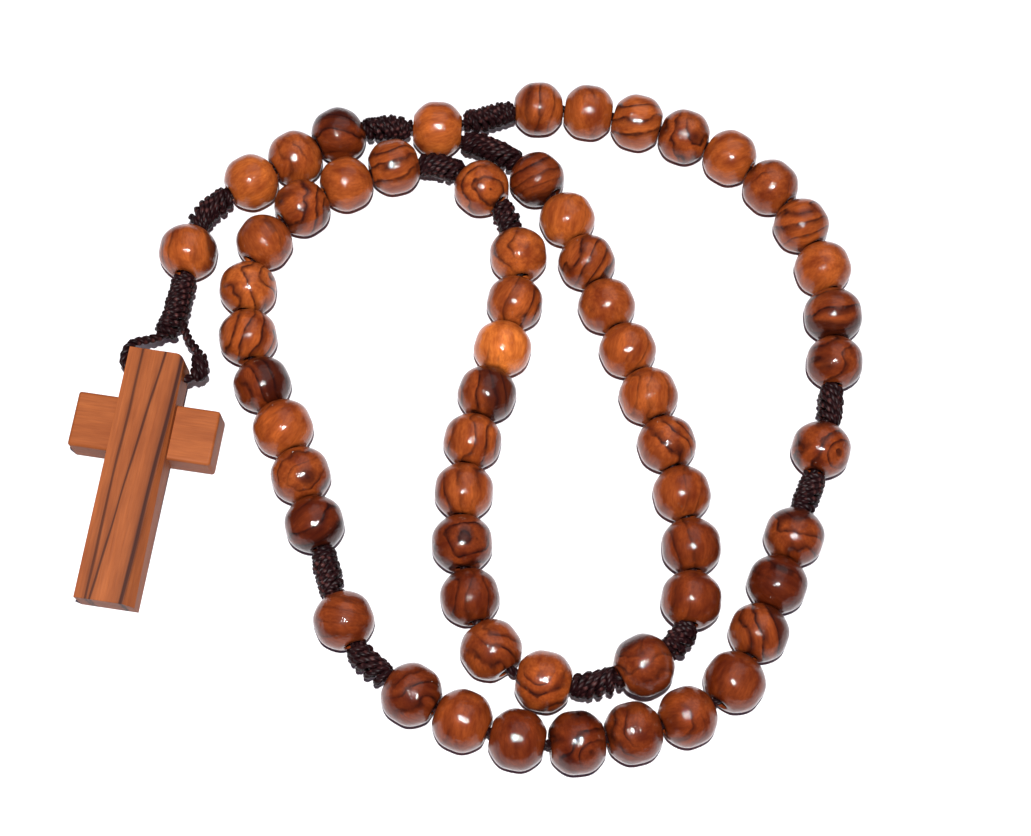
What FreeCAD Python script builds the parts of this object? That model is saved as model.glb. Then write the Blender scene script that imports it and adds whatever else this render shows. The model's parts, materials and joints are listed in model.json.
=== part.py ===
"""A small wooden rosary laid out on a flat surface.

Fifty-nine turned wooden beads are strung on a twisted cord: a folded loop of five groups of
ten with a spacer bead between groups, a junction bead, and a short pendant that ends in a
cross. Wound barrel knots of the same cord keep the spacer beads and the junction bead apart.
Millimetres, +Z up. The origin is the middle of the footprint, on the surface that it lies on.
"""

import FreeCAD, Part
import math
import os

import Sketcher
from FreeCAD import Placement, Rotation, Vector

doc = FreeCAD.newDocument("Rosary")

# ---------------------------------------------------------------- driving dimensions

SIZES = [
    ("bead_dia", 7.8, "widest diameter of a middling bead"),
    ("bead_length", 6.95, "length of a bead along its bore"),
    ("bead_step", 0.08, "one step between the turned sizes"),
    ("bead_rim", 0.9, "rounding where the round side meets the end flat"),
    ("bore_dia", 2.1, "bore of a bead"),
    ("bore_lead", 0.1, "chamfer at the mouth of a bore"),
    ("junction_bore_dia", 3.2, "wider bore that takes both ends of the loop"),
    ("trio_bore_dia", 2.55, "bore of the three pendant beads, whose cord is bent"),
    ("junction_rim", 0.5, "rounding of the rims around that wider bore"),
    ("cord_dia", 1.3, "twisted cord"),
    ("knot_dia", 3.7, "wound barrel knot"),
    ("knot_narrowing", 0.45, "how much less its radius is at the tapered ends"),
    ("knot_taper", 0.7, "length of that taper"),
    ("stopper_dia", 2.6, "stopper knot beside the cross"),
    ("post_length", 34.4, "upright of the cross"),
    ("post_width", 7.6, "upright, across"),
    ("post_thick", 5.0, "upright, front to back"),
    ("post_above", 10.4, "from the crossbar's middle to the upright's top"),
    ("post_lift", 1.8, "the upright's back in front of the crossbar's back"),
    ("bar_length", 19.2, "crossbar"),
    ("bar_width", 7.6, "crossbar, along the upright"),
    ("bar_thick", 5.0, "crossbar, front to back"),
    ("lap_level", 3.4, "joint face of the halved lap, in front of the crossbar's back"),
    ("bevel_width", 1.15, "bevel of the upright's right front edge, at the foot"),
    ("bevel_depth", 1.9, "depth of that bevel, at the foot"),
    ("cross_ease", 0.25, "eased edges of the cross's front and back"),
    ("cross_corner", 0.5, "rounding of the cross's other corners"),
    ("corner_round", 1.3, "rounding of the upright's top right corner"),
    ("hole_dia", 1.9, "crosswise hole for the cord"),
    ("hole_from_top", 3.1, "from the upright's top to the hole's axis"),
    ("part_gap", 0.1, "clearance between neighbours on the cord"),
]

sheet = doc.addObject("Spreadsheet::Sheet", "Sizes")
for row, (alias, value, note) in enumerate(SIZES, start=1):
    sheet.set(f"A{row}", note)
    sheet.set(f"B{row}", str(value))
    sheet.setAlias(f"B{row}", alias)
doc.recompute()


def size(alias):
    """A driving dimension, as a number."""
    return float(getattr(sheet, alias))


# ---------------------------------------------------------------- where the cord runs

BEAD_LEVEL = 3.9

# Both ends of the loop lie side by side in the junction bead; between them the loop goes
# round clockwise and folds back inside itself.
LOOP_ROUTE = [
    (-12.0, 41.5), (-5.4, 42.0), (2.5, 46.3), (14.0, 46.7), (30.0, 43.3), (40.5, 36.9),
    (48.4, 24.0), (49.6, 8.0), (47.2, -6.0), (41.7, -25.0), (36.9, -39.0), (26.0, -43.9),
    (12.5, -47.5), (-1.0, -43.4), (-11.2, -38.0), (-16.5, -26.5), (-22.9, -10.3),
    (-32.3, 4.0), (-32.9, 19.6), (-25.2, 28.1), (-12.2, 36.2), (-1.0, 32.8), (5.3, 22.0),
    (3.7, 8.0), (0.0, -8.0), (0.5, -24.0), (6.5, -38.2), (18.6, -39.2), (25.3, -36.4),
    (31.2, -31.2), (31.2, -17.0), (25.3, 0.0), (15.3, 18.8), (8.2, 33.6), (-4.2, 40.4),
    (-12.0, 40.1),
]
RAISED_POINTS = {27: 4.2, 28: 7.4, 29: 5.2}

# The pendant leaves the junction bead, runs straight through three beads, turns down
# through the spacer bead, and goes through the cross and back up to its last knot.
PENDANT_ROUTE = [
    (-12.85, 40.8, 3.9), (-20.05, 41.0, 3.9), (-37.4, 27.1, 3.9), (-42.1, 21.2, 3.9),
    (-41.5, 12.6, 3.9), (-42.1, 4.2, 4.3), (-44.4, 2.9, 4.9), (-47.4, 1.9, 5.2),
    (-47.35, -2.57, 5.24), (-37.0, -3.08, 5.24), (-37.1, 1.5, 5.2), (-39.2, 2.9, 5.2),
    (-40.4, 5.8, 5.0),
]


def level(points, raised):
    """Route points at the beads' level, but for the raised ones."""
    return [Vector(x, y, raised.get(n, BEAD_LEVEL)) for n, (x, y) in enumerate(points)]


class Route:
    """Straight runs joined by tangent arcs, each arc as large as its two runs allow."""

    def __init__(self, points):
        self.edges, self.pieces, self.radii, self.length = [], [], [], 0.0
        here = points[0]
        for before, corner, after in zip(points, points[1:], points[2:]):
            into, out = corner - before, after - corner
            reach = 0.45 * min(into.Length, out.Length)
            into.normalize()
            out.normalize()
            turn = into.getAngle(out)
            radius = reach / math.tan(turn / 2)
            start, end = corner - into * reach, corner + out * reach
            inward = (out - into).normalize()
            centre = corner + inward * (radius / math.cos(turn / 2))
            self._run(here, start)
            self._arc(start, centre - inward * radius, end, centre, turn * radius)
            self.radii.append(radius)
            here = end
        self._run(here, points[-1])

    def _add(self, edge, length, where):
        self.edges.append(edge)
        self.pieces.append((self.length, length, where))
        self.length += length

    def _run(self, a, b):
        way = (b - a).normalize()
        self._add(Part.LineSegment(a, b).toShape(), (b - a).Length, lambda u: a + way * u)

    def _arc(self, a, middle, b, centre, length):
        radius = (a - centre).Length
        out = (a - centre).normalize()
        axis = out.cross((b - centre).normalize()).normalize()

        def where(u):
            return centre + Rotation(axis, math.degrees(u / radius)).multVec(out) * radius

        self._add(Part.Arc(a, middle, b).toShape(), length, where)

    def at(self, distance):
        """The point at this distance along the route."""
        for start, length, where in self.pieces:
            if distance <= start + length:
                break
        return where(distance - start)

    def wire(self):
        return Part.Wire(self.edges)


class OnCord:
    """Something threaded on the cord: a bead or a knot, with its place and direction."""

    def __init__(self, length, rim, rounding):
        self.length, self.rim, self.rounding = length, rim, rounding

    def seat(self, route, distance):
        """Sits the piece on the chord of its own stretch, midway across the cord's bow."""
        a = route.at(distance - self.length / 2)
        b = route.at(distance + self.length / 2)
        self.distance = distance
        self.axis = (b - a).normalize()
        self.centre = (route.at(distance) + (a + b) * 0.5) * 0.5

    def reach(self, towards):
        """How far the piece reaches from its centre in this direction."""
        angle = min(self.axis.getAngle(towards), math.pi - self.axis.getAngle(towards))
        flat = self.length / 2 - self.rounding
        return self.rim * math.sin(angle) + flat * math.cos(angle) + self.rounding

    def gap_to(self, other):
        """Clearance between two neighbours on the cord."""
        line = other.centre - self.centre
        return line.Length - self.reach(line) - other.reach(line)


def bead_on_cord(step=0):
    """A bead's end flat is met by its rounded rim; step is its turned size."""
    arc = size("bead_dia") / 2 + step * size("bead_step") / 2 - size("bead_rim")
    straight = size("bead_length") / 2 - size("bead_rim")
    piece = OnCord(size("bead_length"), math.sqrt(arc**2 - straight**2), size("bead_rim"))
    piece.step = step
    return piece


def string(route, beads, first, gap):
    """Threads beads one after another, each clear of the one before by the gap."""
    beads[0].seat(route, first)
    for before, bead in zip(beads, beads[1:]):
        bead.seat(route, before.distance + bead.length + gap)
        for _ in range(12):
            bead.seat(route, bead.distance + gap - before.gap_to(bead))


def knot_between(route, before, after):
    """A knot that fills the cord between two beads, but for the part gap at each end."""
    start = before.distance + before.length / 2 + size("part_gap")
    end = after.distance - after.length / 2 - size("part_gap")
    knot = OnCord(end - start, size("knot_dia") / 2 - size("knot_narrowing"), 0.0)
    for _ in range(12):
        knot.length = end - start
        knot.seat(route, (start + end) / 2)
        start += size("part_gap") - before.gap_to(knot)
        end -= size("part_gap") - knot.gap_to(after)
    return knot


# ---------------------------------------------------------------- makers


def bind(target, **expressions):
    """Binds an object's properties to the sheet."""
    for name, expression in expressions.items():
        target.setExpression(name, expression)


def end_circles(shape, smallest, largest):
    """Names of the round edges on the two end flats, between these radii."""
    top = shape.BoundBox.ZMax - 0.01
    return [
        f"Edge{number}"
        for number, edge in enumerate(shape.Edges, start=1)
        if isinstance(edge.Curve, Part.Circle)
        and abs(edge.CenterOfMass.z) > top
        and smallest < edge.Curve.Radius < largest
    ]


def turned_bead(label, piece, bore="bore_dia", rounding="bead_rim"):
    """A round bead with flat ends, its rims rounded and the mouths of its bore eased."""
    body = doc.addObject("PartDesign::Body", label)
    profile = body.newObject("Sketcher::SketchObject", label + "_profile")
    plane = next(f for f in body.Origin.OriginFeatures if f.Role == "XZ_Plane")
    profile.AttachmentSupport = [(plane, "")]
    profile.MapMode = "FlatFace"
    half = size("bead_length") / 2
    radius = size("bead_dia") / 2 + piece.step * size("bead_step") / 2
    hole = size(bore) / 2
    rim = math.sqrt(radius**2 - half**2)
    end = math.asin(half / radius)
    circle = Part.Circle(Vector(0, 0, 0), Vector(0, 0, 1), radius)
    profile.addGeometry([
        Part.LineSegment(Vector(hole, -half, 0), Vector(hole, half, 0)),
        Part.LineSegment(Vector(hole, half, 0), Vector(rim, half, 0)),
        Part.ArcOfCircle(circle, -end, end),
        Part.LineSegment(Vector(rim, -half, 0), Vector(hole, -half, 0)),
    ])
    # lines run start (1) to end (2); the arc starts at its low end and 3 is its centre; -1
    # is the sketch's horizontal axis and its point 1 the origin
    profile.addConstraint([
        Sketcher.Constraint("Coincident", 0, 2, 1, 1),
        Sketcher.Constraint("Coincident", 1, 2, 2, 2),
        Sketcher.Constraint("Coincident", 2, 1, 3, 1),
        Sketcher.Constraint("Coincident", 3, 2, 0, 1),
        Sketcher.Constraint("Coincident", 2, 3, -1, 1),
        Sketcher.Constraint("Horizontal", 1),
        Sketcher.Constraint("Horizontal", 3),
        Sketcher.Constraint("Symmetric", 0, 1, 0, 2, -1),
    ])
    measured = [
        (Sketcher.Constraint("DistanceX", -1, 1, 0, 1, hole), f"Sizes.{bore} / 2"),
        (Sketcher.Constraint("DistanceY", 0, 1, 0, 2, 2 * half), "Sizes.bead_length"),
        (
            Sketcher.Constraint("Radius", 2, radius),
            f"Sizes.bead_dia / 2 + {piece.step} * Sizes.bead_step / 2",
        ),
    ]
    for constraint, expression in measured:
        index = profile.addConstraint(constraint)
        profile.setExpression(f"Constraints[{index}]", expression)
    turn = body.newObject("PartDesign::Revolution", label + "_turned")
    turn.Profile = profile
    turn.ReferenceAxis = (profile, ["V_Axis"])
    turn.Angle = 360
    doc.recompute([profile, turn])
    middling = (rim + hole) / 2
    rounded = body.newObject("PartDesign::Fillet", label + "_rims")
    rounded.Base = (turn, end_circles(turn.Shape, middling, rim + 1))
    bind(rounded, Radius=f"Sizes.{rounding}")
    doc.recompute([rounded])
    eased = body.newObject("PartDesign::Chamfer", label + "_mouths")
    eased.Base = (rounded, end_circles(rounded.Shape, 0, hole + 0.01))
    bind(eased, Size="Sizes.bore_lead")
    body.Tip = eased
    body.Label = label
    body.Placement = Placement(piece.centre, Rotation(Vector(0, 0, 1), piece.axis))
    return body


def cord_tube(label, route):
    """The cord's own solid, swept along its route."""
    path = doc.addObject("Part::Feature", label + "_path")
    path.Shape = route.wire()
    section = doc.addObject("Part::Circle", label + "_section")
    bind(section, Radius="Sizes.cord_dia / 2")
    start = route.at(0)
    section.Placement = Placement(start, Rotation(Vector(0, 0, 1), route.at(0.5) - start))
    tube = doc.addObject("Part::Sweep", label + "_tube")
    tube.Sections = [section]
    tube.Spine = (path, [f"Edge{n}" for n in range(1, len(route.edges) + 1)])
    tube.Solid = True
    tube.Frenet = False
    doc.recompute([section, tube])
    return tube


def barrel_knot(label, piece, dia="Sizes.knot_dia"):
    """A barrel with a short taper at each end."""
    turn = Rotation(Vector(0, 0, 1), piece.axis)
    core = doc.addObject("Part::Cylinder", label + "_barrel")
    bind(core, Radius=f"{dia} / 2", Height=f"{piece.length} - 2 * Sizes.knot_taper")
    core_start = piece.centre - piece.axis * (piece.length / 2 - size("knot_taper"))
    core.Placement = Placement(core_start, turn)
    ends = []
    for side, wide_first in (("upper", True), ("lower", False)):
        cone = doc.addObject("Part::Cone", f"{label}_{side}")
        wide, narrow = f"{dia} / 2", f"{dia} / 2 - Sizes.knot_narrowing"
        first, second = (wide, narrow) if wide_first else (narrow, wide)
        bind(cone, Radius1=first, Radius2=second, Height="Sizes.knot_taper")
        way = 1 if wide_first else -1
        base = piece.length / 2 - (size("knot_taper") if wide_first else 0)
        cone.Placement = Placement(piece.centre + piece.axis * (way * base), turn)
        ends.append(cone)
    return [core, *ends]


def fused(label, pieces):
    whole = doc.addObject("Part::MultiFuse", label)
    whole.Shapes = pieces
    whole.Refine = False
    whole.Label = label
    return whole


def knot_on_cord(length):
    return OnCord(length, size("knot_dia") / 2 - size("knot_narrowing"), 0.0)


# ---------------------------------------------------------------- the loop

# How each bead's turned size differs from the middling one, how far along the cord each
# group of ten starts and how much play it has between beads, and where each spacer sits.
SIZE_STEPS = [0, 1, -1, 0, 2, -2, 1, 0, -1, 1, -2, 0, 2, -1]
GROUPS_AT = [17.8, 110.4, 203.9, 296.4, 389.2]
GROUP_GAPS = [0.1, 0.12, 0.1, 0.12, 0.3]
SPACERS_AT = [97.2, 190.2, 284.1, 376.9]

parts = {}
loop_route = Route(level(LOOP_ROUTE, RAISED_POINTS))


def turned_size(number):
    return SIZE_STEPS[number % len(SIZE_STEPS)]


# the junction bead takes the start and the end of the loop side by side
junction = bead_on_cord(2)
ends = [
    (loop_route.at(u) + loop_route.at(loop_route.length - u)) * 0.5 for u in (0.0, 6.0)
]
junction.axis = (ends[1] - ends[0]).normalize()
junction.centre = ends[0] + junction.axis * 2.7

loop_beads = []
for group, (first, gap) in enumerate(zip(GROUPS_AT, GROUP_GAPS), start=1):
    ten = [bead_on_cord(turned_size(10 * group + n)) for n in range(10)]
    string(loop_route, ten, first, gap)
    loop_beads += [(f"bead_{group}_{n:02d}", bead) for n, bead in enumerate(ten, start=1)]
    if group <= len(SPACERS_AT):
        spacer = bead_on_cord(turned_size(group))
        spacer.seat(loop_route, SPACERS_AT[group - 1])
        loop_beads.append((f"spacer_bead_{group}", spacer))

# the junction bead as the first and as the last thing on the cord
first_end, last_end = bead_on_cord(2), bead_on_cord(2)
first_end.axis, last_end.axis = junction.axis, junction.axis
first_end.centre, last_end.centre = junction.centre, junction.centre
first_end.distance, last_end.distance = 2.7, loop_route.length - 2.7

threaded = [first_end, *(bead for name, bead in loop_beads), last_end]
loop_knots = [
    knot_between(loop_route, before, after)
    for before, after in zip(threaded, threaded[1:])
    if after.distance - before.distance > 1.3 * size("bead_length")
]

for name, bead in loop_beads:
    parts[name] = turned_bead(name, bead)
parts["junction_bead"] = turned_bead(
    "junction_bead", junction, "junction_bore_dia", "junction_rim"
)

loop_tube = cord_tube("loop_cord", loop_route)
knot_solids = []
for number, knot in enumerate(loop_knots, start=1):
    knot_solids += barrel_knot(f"loop_knot_{number:02d}", knot)
parts["loop_cord"] = fused("loop_cord", [loop_tube, *knot_solids])

# ---------------------------------------------------------------- the pendant

TRIO_AT = 11.15
TRIO_GAP = 0.25
SPACER_AT = 40.4
LOWER_KNOT_LENGTH = 9.4
STOPPER_AT = 74.2
STOPPER_LENGTH = 3.8

pendant_route = Route([Vector(*point) for point in PENDANT_ROUTE])
trio = [bead_on_cord(step) for step in (1, 0, -1)]
string(pendant_route, trio, TRIO_AT, TRIO_GAP)
pendant_spacer = bead_on_cord(2)
pendant_spacer.seat(pendant_route, SPACER_AT)

# the first knot stays clear of the junction bead, so that the pendant can swing, and
# of the trio, whose end face wobbles a little as it turns on the bent cord
upper_start, upper_end = 1.9, trio[0].distance - trio[0].length / 2
for _ in range(12):
    upper_knot = knot_on_cord(upper_end - upper_start)
    upper_knot.seat(pendant_route, (upper_start + upper_end) / 2)
    upper_end -= 3 * size("part_gap") - upper_knot.gap_to(trio[0])
middle_knot = knot_between(pendant_route, trio[-1], pendant_spacer)
lower_knot = knot_on_cord(LOWER_KNOT_LENGTH)
lower_knot.seat(
    pendant_route,
    SPACER_AT + (size("bead_length") + LOWER_KNOT_LENGTH) / 2 + size("part_gap"),
)
stopper = knot_on_cord(STOPPER_LENGTH)
stopper.seat(pendant_route, STOPPER_AT)

trio_solids = [
    turned_bead(f"trio_bead_{n}", bead, "trio_bore_dia") for n, bead in enumerate(trio, start=1)
]
trio_group = doc.addObject("Part::Compound", "pendant_bead_trio")
trio_group.Links = trio_solids
trio_group.Label = "pendant_bead_trio"
parts["pendant_bead_trio"] = trio_group
parts["pendant_spacer_bead"] = turned_bead("pendant_spacer_bead", pendant_spacer)

pendant_tube = cord_tube("pendant_cord", pendant_route)
pendant_solids = []
for number, knot in enumerate((upper_knot, middle_knot, lower_knot), start=1):
    pendant_solids += barrel_knot(f"pendant_knot_{number}", knot)

pendant_solids += barrel_knot("pendant_stopper", stopper, "Sizes.stopper_dia")
parts["pendant_cord"] = fused("pendant_cord", [pendant_tube, *pendant_solids])

# ---------------------------------------------------------------- the cross

# The crossbar's middle, and how far the upright leans clockwise.
BAR_MIDDLE = Vector(-42.9, -9.7, 0)
CROSS_TURN = -2.85

# The cross lies on its foot and on the crossbar's lower back edge.
below_bar = size("post_length") - size("post_above") - size("bar_width") / 2
tilt = math.atan(size("post_lift") / below_bar)
lean = math.sin(tilt) * size("bar_width") / 2
turned = Rotation(Vector(0, 0, 1), CROSS_TURN)
tilted = Rotation(Vector(1, 0, 0), math.degrees(tilt))
cross_place = Placement(BAR_MIDDLE + Vector(0, 0, lean), turned * tilted)


def block(label, corner, **sizes):
    """A plain block from its corner, in the cross's own frame."""
    box = doc.addObject("Part::Box", label)
    bind(box, **sizes)
    box.Placement.Base = Vector(*corner)
    return box


def upright_edges(shape):
    """Numbers and middles of the edges that run front to back."""
    for number, edge in enumerate(shape.Edges, start=1):
        if abs(edge.tangentAt(edge.FirstParameter).z) > 0.99:
            yield number, edge.CenterOfMass


def eased(label, base, rounding):
    """Rounds the corners of a block, then eases the edges of its front and back."""
    doc.recompute([base])
    corners = doc.addObject("Part::Fillet", label + "_corners")
    corners.Base = base
    corners.Edges = [(n, rounding(m), rounding(m)) for n, m in upright_edges(base.Shape)]
    doc.recompute([corners])
    low, high = corners.Shape.BoundBox.ZMin, corners.Shape.BoundBox.ZMax
    rims = []
    for number, edge in enumerate(corners.Shape.Edges, start=1):
        box = edge.BoundBox
        if box.ZLength < 0.01 and min(abs(box.ZMin - low), abs(box.ZMin - high)) < 0.01:
            rims.append((number, size("cross_ease"), size("cross_ease")))
    edges = doc.addObject("Part::Chamfer", label)
    edges.Base = corners
    edges.Edges = rims
    doc.recompute([edges])
    return edges


def cut(label, base, tool):
    result = doc.addObject("Part::Cut", label)
    result.Base, result.Tool = base, tool
    return result


# In its own frame the crossbar's middle is the origin, X runs along the crossbar, Y up the
# upright and Z out of the front.
post_half, bar_half = size("post_width") / 2, size("bar_width") / 2
foot = size("post_above") - size("post_length")
front = size("post_lift") + size("post_thick")
post_blank = block(
    "upright_blank",
    (-post_half, foot, size("post_lift")),
    Length="Sizes.post_width",
    Width="Sizes.post_length",
    Height="Sizes.post_thick",
)


def post_rounding(middle):
    top_right = middle.x > 0 and middle.y > 0
    return size("corner_round") if top_right else size("cross_corner")


post = eased("upright_eased", post_blank, post_rounding)

# the bevel of the right front edge deepens from nothing at the top to the foot
bevel_top = Vector(post_half, size("post_above"), front)
bevel_front = Vector(post_half - size("bevel_width"), foot, front)
bevel_side = Vector(post_half, foot, front - size("bevel_depth"))
bevel_face = (bevel_side - bevel_top).cross(bevel_front - bevel_top).normalize()
if bevel_face.x < 0:
    bevel_face = bevel_face * -1
bevel = doc.addObject("Part::Box", "upright_bevel")
bevel.Length, bevel.Width, bevel.Height = 100, 100, 10
facing = Rotation(Vector(0, 0, 1), bevel_face)
bevel.Placement = Placement(bevel_top - facing.multVec(Vector(50, 50, 0)), facing)

# the halved lap: the upright is notched from behind and the crossbar from the front
post_notch = block(
    "upright_notch",
    (-post_half - 1, -bar_half, size("post_lift") - 1),
    Length="Sizes.post_width + 2",
    Width="Sizes.bar_width",
    Height="Sizes.lap_level - Sizes.post_lift + 1",
)
hole = doc.addObject("Part::Cylinder", "cord_hole")
bind(hole, Radius="Sizes.hole_dia / 2", Height="Sizes.post_width + 2")
hole_height = size("post_lift") + size("post_thick") / 2
hole_along = size("post_above") - size("hole_from_top")
hole.Placement = Placement(
    Vector(-post_half - 1, hole_along, hole_height), Rotation(Vector(0, 0, 1), Vector(1, 0, 0))
)
post = cut("upright_bevelled", post, bevel)
post = cut("upright_notched", post, post_notch)
post = cut("upright", post, hole)

bar_blank = block(
    "crossbar_blank",
    (-size("bar_length") / 2, -bar_half, 0),
    Length="Sizes.bar_length",
    Width="Sizes.bar_width",
    Height="Sizes.bar_thick",
)
bar = eased("crossbar_eased", bar_blank, lambda middle: size("cross_corner"))
bar_notch = block(
    "crossbar_notch",
    (-post_half, -bar_half - 1, size("lap_level")),
    Length="Sizes.post_width",
    Width="Sizes.bar_width + 2",
    Height="Sizes.bar_thick - Sizes.lap_level + 1",
)
bar = cut("crossbar", bar, bar_notch)

cross = doc.addObject("Part::Compound", "cross")
cross.Links = [post, bar]
cross.Label = "cross"
cross.Placement = cross_place
parts["cross"] = cross

# ---------------------------------------------------------------- checks and export

doc.recompute()
for thing in doc.Objects:
    wrong = {"Invalid", "Error"} & set(thing.State)
    if wrong:
        raise RuntimeError(f"{thing.Label} is {wrong}")
for name, part in parts.items():
    if part.Shape.isNull() or not part.Shape.isValid():
        raise RuntimeError(f"{name} has no valid shape")
    if part.Label != name:
        raise RuntimeError(f"{name} carries the label {part.Label}")

os.makedirs("parts", exist_ok=True)
for name, part in parts.items():
    part.Shape.exportStep(f"parts/{name}.step")

print("parts", len(parts))
for name, route in (("loop", loop_route), ("pendant", pendant_route)):
    radii = " ".join(f"{radius:.1f}" for radius in route.radii)
    print(f"{name} cord: length {route.length:.1f} mm, radii {radii}")
hole_middle = cross_place.multVec(Vector(0, hole_along, hole_height))
hole_way = cross_place.Rotation.multVec(Vector(1, 0, 0))
print("cross hole", hole_middle, hole_way)
for name, piece in [
    *loop_beads,
    ("junction_bead", junction),
    ("pendant_bead_trio", trio[1]),
    ("pendant_spacer_bead", pendant_spacer),
]:
    print("axis", name, *(f"{v:.5f}" for v in (*piece.centre, *piece.axis)))
for number, knot in enumerate([*loop_knots, upper_knot, middle_knot, lower_knot, stopper], 1):
    print("knot", number, *(f"{v:.4f}" for v in (*knot.centre, *knot.axis, knot.length)))
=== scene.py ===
"""The looks of a small olive-wood rosary that lies folded on a white table."""

import json
import math
import random
from bisect import bisect_right

import bmesh
import bpy
from mathutils import Matrix, Vector, noise


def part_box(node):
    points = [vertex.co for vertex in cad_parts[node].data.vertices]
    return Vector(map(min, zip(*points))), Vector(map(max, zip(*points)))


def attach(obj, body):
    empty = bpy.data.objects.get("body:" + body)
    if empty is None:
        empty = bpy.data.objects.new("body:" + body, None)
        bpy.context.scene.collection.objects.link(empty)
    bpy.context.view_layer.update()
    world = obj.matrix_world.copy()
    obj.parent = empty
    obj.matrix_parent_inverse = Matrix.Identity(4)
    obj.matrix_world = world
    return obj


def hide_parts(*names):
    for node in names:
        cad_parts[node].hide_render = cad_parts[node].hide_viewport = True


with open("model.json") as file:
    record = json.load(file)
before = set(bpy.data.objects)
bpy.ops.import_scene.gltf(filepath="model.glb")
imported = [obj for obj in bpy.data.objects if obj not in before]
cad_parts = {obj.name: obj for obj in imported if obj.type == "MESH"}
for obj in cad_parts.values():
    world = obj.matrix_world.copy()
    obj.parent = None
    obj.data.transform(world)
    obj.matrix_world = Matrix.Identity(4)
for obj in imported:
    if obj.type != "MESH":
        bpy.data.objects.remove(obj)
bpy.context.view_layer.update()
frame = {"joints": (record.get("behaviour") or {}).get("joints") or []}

scene = bpy.context.scene
MM = 0.001

# ---------------------------------------------------------------- camera

CAMERA_PLACE = Vector((6.1, -91.6, 219)) * MM
CAMERA_TILT, CAMERA_ROLL = math.radians(22.42), math.radians(5.71)
LENS_LENGTH, SENSOR_WIDTH = 60.04, 36


def place_camera():
    """Looks down and forwards onto the table, with the camera's right side a little higher."""
    away = Vector((0, math.sin(CAMERA_TILT), -math.cos(CAMERA_TILT)))
    right = Vector((1, 0, 0))
    down = Vector((0, -math.cos(CAMERA_TILT), -math.sin(CAMERA_TILT)))
    side = math.cos(CAMERA_ROLL) * right - math.sin(CAMERA_ROLL) * down
    up = -(math.sin(CAMERA_ROLL) * right + math.cos(CAMERA_ROLL) * down)
    lens = bpy.data.cameras.new("camera")
    lens.sensor_width = SENSOR_WIDTH
    lens.lens = LENS_LENGTH
    lens.clip_start = 5 * MM
    camera = bpy.data.objects.new("camera", lens)
    turn = Matrix((side, up, -away)).transposed().to_4x4()
    camera.matrix_world = Matrix.Translation(CAMERA_PLACE) @ turn
    scene.collection.objects.link(camera)
    scene.camera = camera
    return away, side, up


camera_away, camera_side, camera_up = place_camera()

# ---------------------------------------------------------------- cord routes

# control points in millimetres, the same as in the CAD: the loop's lie at the level of
# the beads' middles, but for the few raised ones, which are given by their number
BEAD_LEVEL = 3.9
LOOP_ROUTE = [
    (-12.0, 41.5), (-5.4, 42.0), (2.5, 46.3), (14.0, 46.7), (30.0, 43.3), (40.5, 36.9),
    (48.4, 24.0), (49.6, 8.0), (47.2, -6.0), (41.7, -25.0), (36.9, -39.0), (26.0, -43.9),
    (12.5, -47.5), (-1.0, -43.4), (-11.2, -38.0), (-16.5, -26.5), (-22.9, -10.3),
    (-32.3, 4.0), (-32.9, 19.6), (-25.2, 28.1), (-12.2, 36.2), (-1.0, 32.8), (5.3, 22.0),
    (3.7, 8.0), (0.0, -8.0), (0.5, -24.0), (6.5, -38.2), (18.6, -39.2), (25.3, -36.4),
    (31.2, -31.2), (31.2, -17.0), (25.3, 0.0), (15.3, 18.8), (8.2, 33.6), (-4.2, 40.4),
    (-12.0, 40.1),
]
RAISED_POINTS = {27: 4.2, 28: 7.4, 29: 5.2}
PENDANT_ROUTE = [
    (-12.85, 40.8, 3.9), (-20.05, 41.0, 3.9), (-37.4, 27.1, 3.9), (-42.1, 21.2, 3.9),
    (-41.5, 12.6, 3.9), (-42.1, 4.2, 4.3), (-44.4, 2.9, 4.9), (-47.4, 1.9, 5.2),
    (-47.35, -2.57, 5.24), (-37.0, -3.08, 5.24), (-37.1, 1.5, 5.2), (-39.2, 2.9, 5.2),
    (-40.4, 5.8, 5.0),
]


def mesh_of_curve(name, curve):
    """Turns a curve into a mesh, and removes the curve."""
    line = bpy.data.objects.new(name, curve)
    scene.collection.objects.link(line)
    bpy.context.view_layer.update()
    mesh = bpy.data.meshes.new_from_object(line)
    bpy.data.objects.remove(line)
    bpy.data.curves.remove(curve)
    return mesh


def carried_side(side, way):
    """The last side vector, turned as little as it takes to stay square to the line."""
    if side is None:
        side = way.cross(Vector((0, 0, 1))).normalized()
    return (side - way * side.dot(way)).normalized()


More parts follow.
